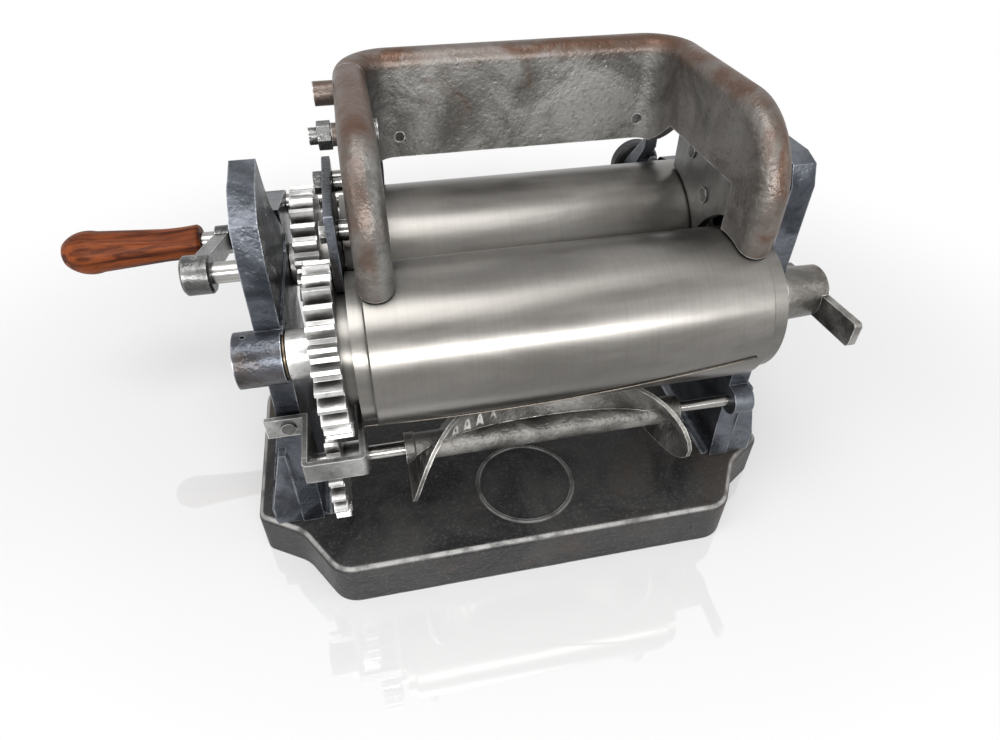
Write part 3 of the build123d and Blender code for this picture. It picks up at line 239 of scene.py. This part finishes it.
def sand_casting(
    name,
    dark,
    light,
    stain=None,
    stain_low=0.55,
    grain=0.25,
    roughness=(0.3, 0.55),
    metallic=0.9,
    rim=None,
):
    """Sand-cast metal: mottled, pitted, with painted shade in its corners, and bright along its edges where
    wear shows.

    stain is a colour in patches, which grow as stain_low falls.  grain is the depth of the speckle in
    millimetres.  rim(paint) gives a mask from 0 to 1 for the places that hands have stained.
    """
    paint = Paint(name)
    clouds = paint.noise(scale=28.0, detail=6.0, rough=0.62, warp=0.5)
    speckle = paint.noise(scale=420.0, detail=3.0, rough=0.6)
    colour = paint.blend(paint.curve(clouds, 0.34, 0.66), dark, light)
    colour = paint.blend(paint.curve(speckle, 0.52, 0.74, 0.0, 0.42), colour, darker(dark, 0.4))
    if stain:
        patches = paint.noise(scale=17.0, detail=5.0, rough=0.6, warp=0.8)
        amount = paint.curve(patches, stain_low, stain_low + 0.16, 0.0, 0.8)
        if rim:
            broken = paint.noise(scale=24.0, detail=5.0, rough=0.65, warp=1.0)
            touched = paint.math("MULTIPLY", rim(paint), paint.curve(broken, 0.36, 0.56, 0.4, 0.97))
            amount = paint.math("MAXIMUM", amount, touched)
        colour = paint.blend(amount, colour, stain)
    # Painted shade: darker in corners and narrow gaps.
    colour = paint.blend(paint.painted_corner_shade(0.8), colour, darker(dark, 0.22))
    patchy = paint.curve(paint.noise(scale=90.0, detail=3.0), 0.32, 0.55)
    colour = paint.blend(paint.math("MULTIPLY", paint.edges(), patchy), colour, brighter(light, 2.0, 0.16))
    pits = paint.curve(paint.cells(330.0), 0.0, 0.45)
    paint.bumps((clouds, 1.5), (speckle, grain), (pits, 0.1))
    return paint.finish(colour, paint.curve(clouds, 0.3, 0.7, *roughness), metallic)


def rim_mask(paint):
    """The rolled rim of the hopper: its top, and the outer sides of both cheeks."""
    high = paint.curve(paint.axis("Z"), *RIM_TOP)
    right = paint.curve(paint.axis("X"), *RIM_RIGHT)
    left = paint.curve(paint.axis("X"), *RIM_LEFT, 0.0, 0.6)
    return paint.math("MAXIMUM", high, paint.math("MAXIMUM", right, left))


def turned_metal(name, dark, light, roughness):
    """Metal turned about a line along X: fine rings and faint smears along the length."""
    paint = Paint(name)
    rings = paint.noise(detail=3.0, rough=0.6, vector=paint.scaled(900.0, 14.0, 14.0))
    smears = paint.noise(detail=5.0, rough=0.6, warp=0.3, vector=paint.scaled(9.0, 34.0, 34.0))
    spots = paint.noise(scale=70.0, rough=0.6)
    colour = paint.blend(paint.curve(smears, 0.3, 0.7), dark, light)
    colour = paint.blend(paint.curve(rings, 0.4, 0.7, 0.0, 0.12), colour, darker(dark, 0.6))
    colour = paint.blend(paint.curve(spots, 0.6, 0.75, 0.0, 0.12), colour, darker(dark, 0.55))
    # Painted shade: darker in corners and narrow gaps.
    colour = paint.blend(paint.painted_corner_shade(0.75), colour, darker(dark, 0.25))
    paint.bumps((rings, 0.025), (smears, 0.1))
    gloss = paint.curve(smears, 0.3, 0.7, roughness, roughness + 0.08)
    return paint.finish(colour, gloss, anisotropic=0.5)


def milled_metal(name, dark, light, roughness=0.36):
    """Milled or filed metal: short cross scratches in patches, painted shade in the corners."""
    paint = Paint(name)
    patches = paint.noise(scale=45.0, detail=5.0, rough=0.6, warp=0.5)
    across = paint.scaled(260.0, 900.0, 90.0, turn=(0.5, 0.0, 0.0))
    scratches = paint.noise(rough=0.7, vector=across)
    colour = paint.blend(paint.curve(patches, 0.3, 0.7), dark, light)
    colour = paint.blend(paint.curve(scratches, 0.5, 0.7, 0.0, 0.4), colour, darker(dark, 0.5))
    # Painted shade: darker in corners and narrow gaps.
    colour = paint.blend(paint.painted_corner_shade(0.92, reach=0.006, low=0.35, high=0.9), colour, MILLED_CORNER_SHADE)
    colour = paint.blend(paint.edges(radius=0.0009), colour, brighter(light, 1.7))
    paint.bumps((patches, 0.5), (scratches, 0.12))
    return paint.finish(colour, paint.curve(patches, 0.3, 0.7, roughness, roughness + 0.16), 0.95)


def dark_base(name):
    """Base casting: near-black speckled top with painted shade in its corners, bright along its rounded edge
    from wear and from a painted highlight where that edge slopes upward.
    """
    paint = Paint(name)
    clouds = paint.noise(scale=20.0, detail=6.0, rough=0.62, warp=0.6)
    speckle = paint.noise(scale=520.0, rough=0.65)
    rust = paint.noise(scale=12.0, rough=0.6, warp=0.6)
    colour = paint.blend(paint.curve(clouds, 0.3, 0.7), BASE_DARK, BASE_LIGHT)
    colour = paint.blend(paint.curve(speckle, 0.5, 0.76, 0.0, 0.5), colour, BASE_SPECKLE)
    colour = paint.blend(paint.curve(rust, 0.54, 0.72, 0.0, 0.6), colour, BASE_RUST)
    upward = paint.axis("Z", paint.facing)
    # Partly wear and partly a painted highlight: brighter where the rounded edge slopes upward and along
    # sharp edges.
    rounded = paint.math("MULTIPLY", paint.curve(upward, 0.4, 0.75), paint.curve(upward, 0.9, 0.99, 1.0, 0.0))
    rubbed_and_sheen = paint.math("MAXIMUM", rounded, paint.edges(radius=0.002, low=0.01, high=0.12))
    patchy = paint.curve(paint.noise(scale=60.0), 0.34, 0.56, 0.25, 1.0)
    # Painted shade: darker in corners and narrow gaps.
    colour = paint.blend(paint.painted_corner_shade(0.7, reach=0.008), colour, BASE_CORNER_SHADE)
    colour = paint.blend(paint.math("MULTIPLY", rubbed_and_sheen, patchy), colour, BASE_WEAR_AND_SHEEN)
    paint.bumps((clouds, 2.0), (speckle, 0.4))
    return paint.finish(colour, paint.curve(clouds, 0.3, 0.7, 0.38, 0.6), 0.4, specular=0.35)


def hard_wood(name):
    """Rubbed hardwood with dark grain along X."""
    paint = Paint(name)
    grain = paint.noise(detail=6.0, rough=0.62, warp=1.2, vector=paint.scaled(11.0, 150.0, 150.0))
    pores = paint.noise(detail=3.0, rough=0.7, vector=paint.scaled(60.0, 900.0, 900.0))
    patches = paint.noise(scale=34.0, detail=3.0, rough=0.5)
    colour = paint.blend(paint.curve(grain, 0.34, 0.66), WOOD_DARK, WOOD_LIGHT)
    colour = paint.blend(paint.curve(pores, 0.55, 0.72, 0.0, 0.7), colour, WOOD_PORES)
    colour = paint.blend(paint.curve(patches, 0.62, 0.72, 0.0, 0.6), colour, WOOD_PATCHES)
    paint.bumps((grain, 0.25), (pores, 0.06))
    return paint.finish(colour, 0.44, 0.0, specular=0.1)


MATERIALS = {
    "base_casting": dark_base("base_dark"),
    "frame_casting": sand_casting(
        "cast_frame",
        dark=(0.020, 0.023, 0.029),
        light=(0.115, 0.124, 0.142),
        stain=FRAME_STAIN,
        stain_low=0.58,
        roughness=(0.24, 0.46),
        metallic=0.8,
    ),
    "hopper_casting": sand_casting(
        "cast_hopper",
        dark=(0.088, 0.085, 0.079),
        light=(0.20, 0.195, 0.185),
        stain=RIM_STAIN,
        stain_low=0.6,
        metallic=0.6,
        rim=rim_mask,
    ),
    "lever_casting": sand_casting(
        "cast_lever",
        dark=(0.10, 0.094, 0.086),
        light=(0.29, 0.28, 0.265),
        stain=LEVER_STAIN,
        stain_low=0.52,
    ),
    "cutter_casting": sand_casting(
        "cast_cutter",
        dark=(0.065, 0.062, 0.057),
        light=(0.24, 0.232, 0.218),
        grain=0.5,
        roughness=(0.46, 0.66),
    ),
    "strap_metal": sand_casting("strap", dark=(0.12, 0.12, 0.116), light=(0.34, 0.34, 0.33)),
    "crank_steel": sand_casting(
        "crank",
        dark=(0.05, 0.05, 0.05),
        light=(0.21, 0.21, 0.205),
        roughness=(0.22, 0.42),
    ),
    "steel_fasteners": sand_casting(
        "fastener",
        dark=(0.045, 0.045, 0.045),
        light=(0.20, 0.20, 0.195),
        roughness=(0.25, 0.45),
    ),
    "knob_black": sand_casting(
        "knob",
        dark=(0.010, 0.010, 0.012),
        light=(0.03, 0.03, 0.032),
        roughness=(0.4, 0.6),
        metallic=0.3,
    ),
    "plate_metal": milled_metal("plate", dark=(0.16, 0.16, 0.156), light=(0.28, 0.28, 0.274)),
    "gear_metal": milled_metal(
        "gear",
        dark=(0.32, 0.318, 0.31),
        light=(0.58, 0.575, 0.565),
        roughness=0.27,
    ),
    "roller_metal": turned_metal(
        "roller",
        dark=(0.150, 0.143, 0.132),
        light=(0.225, 0.216, 0.202),
        roughness=0.29,
    ),
    "bright_steel": turned_metal(
        "steel",
        dark=(0.22, 0.213, 0.203),
        light=(0.42, 0.41, 0.395),
        roughness=0.2,
    ),
    "bronze": turned_metal(
        "bronze",
        dark=(0.09, 0.072, 0.048),
        light=(0.18, 0.145, 0.10),
        roughness=0.3,
    ),
    "handle_wood": hard_wood("wood"),
}
WIRE_METAL = turned_metal("wire", dark=(0.10, 0.088, 0.074), light=(0.21, 0.188, 0.16), roughness=0.34)

# ---------------------------------------------------------------- edges of the CAD pieces
BEVELS_MM = {
    "front_gear": 0.3,
    "back_gear": 0.3,
    "cutter_gear": 0.25,
    "cutter_drum": 0.5,
    "base": 0.8,
    "left_frame": 1.1,
    "right_frame": 1.1,
    "gear_yoke": 0.9,
    "left_shoe": 0.8,
    "gap_lever": 0.9,
    "left_cheek": 0.7,
    "hopper": 0.7,
    "crank": 0.8,
}
PLAIN_BEVEL_MM = 0.45
WELD_MM = 0.01
BEVEL_SEGMENTS = 2
BEVEL_ANGLE = radians(38.0)
FACE_WEIGHT = 60


def shade_smooth(mesh):
    mesh.polygons.foreach_set("use_smooth", [True] * len(mesh.polygons))


def dress_nodes():
    """Gives every CAD node its material, softened edges and smooth shading."""
    slots = {entry["node"]: entry["material_slot"] for entry in frame["record"]["subparts"]}
    for name, node in frame["nodes"].items():
        node.data.materials.clear()
        node.data.materials.append(MATERIALS[slots[name]])
        normals = node.data.attributes.get("custom_normal")
        if normals:
            node.data.attributes.remove(normals)
        shade_smooth(node.data)
        weld = node.modifiers.new("weld", "WELD")
        weld.merge_threshold = WELD_MM * MM
        bevel = node.modifiers.new("soft edges", "BEVEL")
        bevel.width = BEVELS_MM.get(name, PLAIN_BEVEL_MM) * MM
        bevel.segments = BEVEL_SEGMENTS
        bevel.limit_method = "ANGLE"
        bevel.angle_limit = BEVEL_ANGLE
        bevel.harden_normals = False
        shade = node.modifiers.new("even shading", "WEIGHTED_NORMAL")
        shade.keep_sharp = True
        shade.weight = FACE_WEIGHT


# ---------------------------------------------------------------- release wire
# It winds round the front roller, whose axis is at FRONT_AXIS_MM in Y and Z.  Angles are in degrees
# below the level line through that axis, on the user's side.
FRONT_AXIS_MM = (-38.5, 155.5)
WIRE_RADIUS_MM = 0.4
WIRE_REACH_MM = 41.85
WIRE_RIGHT_MM = 109.0
WIRE_LEFT_MM = -91.5
WIRE_RIGHT_ANGLE = 9.5
WIRE_TWIST = 0.252
WIRE_STEPS = 24
WIRE_ROUNDNESS = 3
RIGHT_LEG_MM = (
    (127.0, -43.0, 131.0),
    (122.0, -52.0, 135.5),
    (114.0, -72.0, 144.0),
    (111.0, -78.0, 147.3),
)
# The hook at the left end: its bend, and its tip in X and Y, from the end of the line, and the tip's Z.
HOOK_BEND_MM = (-1.8, 0.2, -0.5)
HOOK_TIP_MM = (-2.9, 0.3)
HOOK_TIP_HEIGHT_MM = 117.0


def round_bar(name, points_mm, radius_mm, material, body):
    """Round wire through the given points, drawn as a curve and turned into a mesh."""
    curve = bpy.data.curves.new(name, "CURVE")
    curve.dimensions = "3D"
    curve.bevel_depth = radius_mm * MM
    curve.bevel_resolution = WIRE_ROUNDNESS
    curve.use_fill_caps = True
    spline = curve.splines.new("POLY")
    spline.points.add(len(points_mm) - 1)
    for point, place in zip(spline.points, points_mm):
        point.co = (*(MM * v for v in place), 1.0)
    drawn = bpy.data.objects.new(name + "_line", curve)
    bpy.context.scene.collection.objects.link(drawn)
    bpy.context.view_layer.update()
    mesh = bpy.data.meshes.new_from_object(drawn.evaluated_get(bpy.context.evaluated_depsgraph_get()))
    mesh.name = name
    bpy.data.objects.remove(drawn)
    bar = bpy.data.objects.new(name, mesh)
    bpy.context.scene.collection.objects.link(bar)
    mesh.materials.clear()
    mesh.materials.append(material)
    shade_smooth(mesh)
    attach(bar, body)


def release_wire():
    """Wire a hair off the lower front of the front roller, which peels the dough away.

    Its left end is hooked into the strap round the cutter gear.  Its right leg runs back to the far
    frame, and on the way it cuts through the end of the front roller, a known fault.
    """
    axis_y, axis_z = FRONT_AXIS_MM
    line = []
    for step in range(WIRE_STEPS + 1):
        x = WIRE_RIGHT_MM + (WIRE_LEFT_MM - WIRE_RIGHT_MM) * step / WIRE_STEPS
        angle = radians(WIRE_RIGHT_ANGLE + WIRE_TWIST * (WIRE_RIGHT_MM - x))
        line.append((x, axis_y - WIRE_REACH_MM * cos(angle), axis_z - WIRE_REACH_MM * sin(angle)))
    last = line[-1]
    bend = tuple(place + shift for place, shift in zip(last, HOOK_BEND_MM))
    tip = (last[0] + HOOK_TIP_MM[0], last[1] + HOOK_TIP_MM[1], HOOK_TIP_HEIGHT_MM)
    round_bar("release_wire", (*RIGHT_LEG_MM, *line, bend, tip), WIRE_RADIUS_MM, WIRE_METAL, "base")


# ---------------------------------------------------------------- floor, light, camera
FLOOR_SIZE = 6.0
FLOOR_SHADE = 0.42
FLOOR_ROUGHNESS = 0.9
FLOOR_GLOSS = 0.14
MIRROR_ROUGHNESS = 0.03
FLOOR_LIFT = 0.27
MIRROR_START = 0.2
MIRROR_END = 0.32
OPEN_FLOOR_START = 0.26
OPEN_FLOOR_END = 0.62
WORLD_LEVEL = 0.5
SEEN_LEVEL = 1.0

# Each lamp: name, place, the point that it faces, width and height, watts.
LAMPS = (
    ("key", (-0.15, -1.22, 0.56), (0, 0, 0.15), (1.5, 0.16), 22),
    ("top", (-0.2, -0.3, 1.5), (0, 0, 0.15), (0.9, 0.7), 14),
    ("right", (1.1, -0.6, 0.7), (0, 0, 0.15), (0.5, 0.7), 3),
    ("left", (-1.1, -0.45, 0.95), (0, 0, 0.2), (0.5, 0.5), 4),
)


def seen_white(nodes, links):
    """1 for rays from the camera and for rays that metal or glass sends on, 0 for soft light."""
    path = nodes.new("ShaderNodeLightPath")
    total = path.outputs["Is Camera Ray"]
    for name in ("Is Glossy Ray", "Is Transmission Ray"):
        either = nodes.new("ShaderNodeMath")
        either.operation = "MAXIMUM"
        links.new(total, either.inputs[0])
        links.new(path.outputs[name], either.inputs[1])
        total = either.outputs[0]
    return total


def floor_paint():
    """Pale near the part, where it takes a shadow and a faint mirror image, and plain white further out."""
    paint = Paint("floor_white")
    nodes, links = paint.nodes, paint.links
    paint.finish((FLOOR_SHADE,) * 3, FLOOR_ROUGHNESS, 0.0, specular=0.0)
    shadowed = paint.shader.outputs[0]
    white = nodes.new("ShaderNodeEmission")
    lift = nodes.new("ShaderNodeEmission")
    lift.inputs["Strength"].default_value = FLOOR_LIFT
    mirror = nodes.new("ShaderNodeBsdfGlossy")
    mirror.inputs["Roughness"].default_value = MIRROR_ROUGHNESS
    lit = nodes.new("ShaderNodeAddShader")
    links.new(shadowed, lit.inputs[0])
    links.new(lift.outputs[0], lit.inputs[1])
    distance = paint.distance()
    gloss = paint.curve(distance, MIRROR_START, MIRROR_END, FLOOR_GLOSS, 0.0)
    far = paint.curve(distance, OPEN_FLOOR_START, OPEN_FLOOR_END)
    polished = mixed(nodes, links, gloss, lit.outputs[0], mirror.outputs[0])
    seen = mixed(nodes, links, far, polished, white.outputs[0])
    whole = mixed(nodes, links, seen_white(nodes, links), shadowed, seen)
    links.new(whole, paint.output.inputs["Surface"])
    return paint.material


def pale_floor():
    side = FLOOR_SIZE
    corners = [(-side, -side, 0), (side, -side, 0), (side, side, 0), (-side, side, 0)]
    mesh = bpy.data.meshes.new("floor")
    mesh.from_pydata(corners, [], [(0, 1, 2, 3)])
    mesh.materials.append(floor_paint())
    floor = bpy.data.objects.new("floor", mesh)
    bpy.context.scene.collection.objects.link(floor)


def soft_world():
    """Pale surroundings that light the part evenly and show white to the camera and in metal."""
    world = bpy.data.worlds.new("studio")
    bpy.context.scene.world = world
    world.use_nodes = True
    nodes = world.node_tree.nodes
    links = world.node_tree.links
    nodes.clear()
    output = nodes.new("ShaderNodeOutputWorld")
    shades = []
    for strength in (WORLD_LEVEL, SEEN_LEVEL):
        shade = nodes.new("ShaderNodeBackground")
        shade.inputs["Color"].default_value = (*WHITE, 1.0)
        shade.inputs["Strength"].default_value = strength
        shades.append(shade.outputs[0])
    links.new(mixed(nodes, links, seen_white(nodes, links), *shades), output.inputs["Surface"])


def area_light(name, place, target, size, watts):
    light = bpy.data.lights.new(name, "AREA")
    light.shape = "RECTANGLE"
    light.size, light.size_y = size
    light.energy = watts
    lamp = bpy.data.objects.new(name, light)
    lamp.location = place
    lamp.rotation_euler = (Vector(target) - Vector(place)).to_track_quat("-Z", "Y").to_euler()
    bpy.context.scene.collection.objects.link(lamp)


def photo_camera():
    """Camera with the place, turn, lens and shift that the photograph was solved to."""
    across = cos(CAMERA_PITCH)
    back = Vector((sin(CAMERA_YAW) * across, -cos(CAMERA_YAW) * across, sin(CAMERA_PITCH)))
    level = Vector((cos(CAMERA_YAW), sin(CAMERA_YAW), 0.0))
    upright = back.cross(level)
    right = cos(CAMERA_ROLL) * level + sin(CAMERA_ROLL) * upright
    up = -sin(CAMERA_ROLL) * level + cos(CAMERA_ROLL) * upright
    turn = Matrix((right, up, back)).transposed().to_4x4()
    lens = bpy.data.cameras.new("photo_camera")
    lens.sensor_width = SENSOR_WIDTH
    lens.lens = FOCAL_PIXELS * SENSOR_WIDTH / PHOTO_WIDTH
    lens.shift_x = (PHOTO_WIDTH / 2 - CENTRE_PIXEL[0]) / PHOTO_WIDTH
    lens.shift_y = (CENTRE_PIXEL[1] - PHOTO_HEIGHT / 2) / PHOTO_WIDTH
    lens.clip_start = CLIP_START
    camera = bpy.data.objects.new("photo_camera", lens)
    camera.matrix_world = Matrix.Translation(CAMERA_PLACE) @ turn
    bpy.context.scene.collection.objects.link(camera)
    bpy.context.scene.camera = camera


dress_nodes()
release_wire()
pale_floor()
soft_world()
for lamp_facts in LAMPS:
    area_light(*lamp_facts)
photo_camera()
bpy.context.scene.view_settings.view_transform = "Standard"
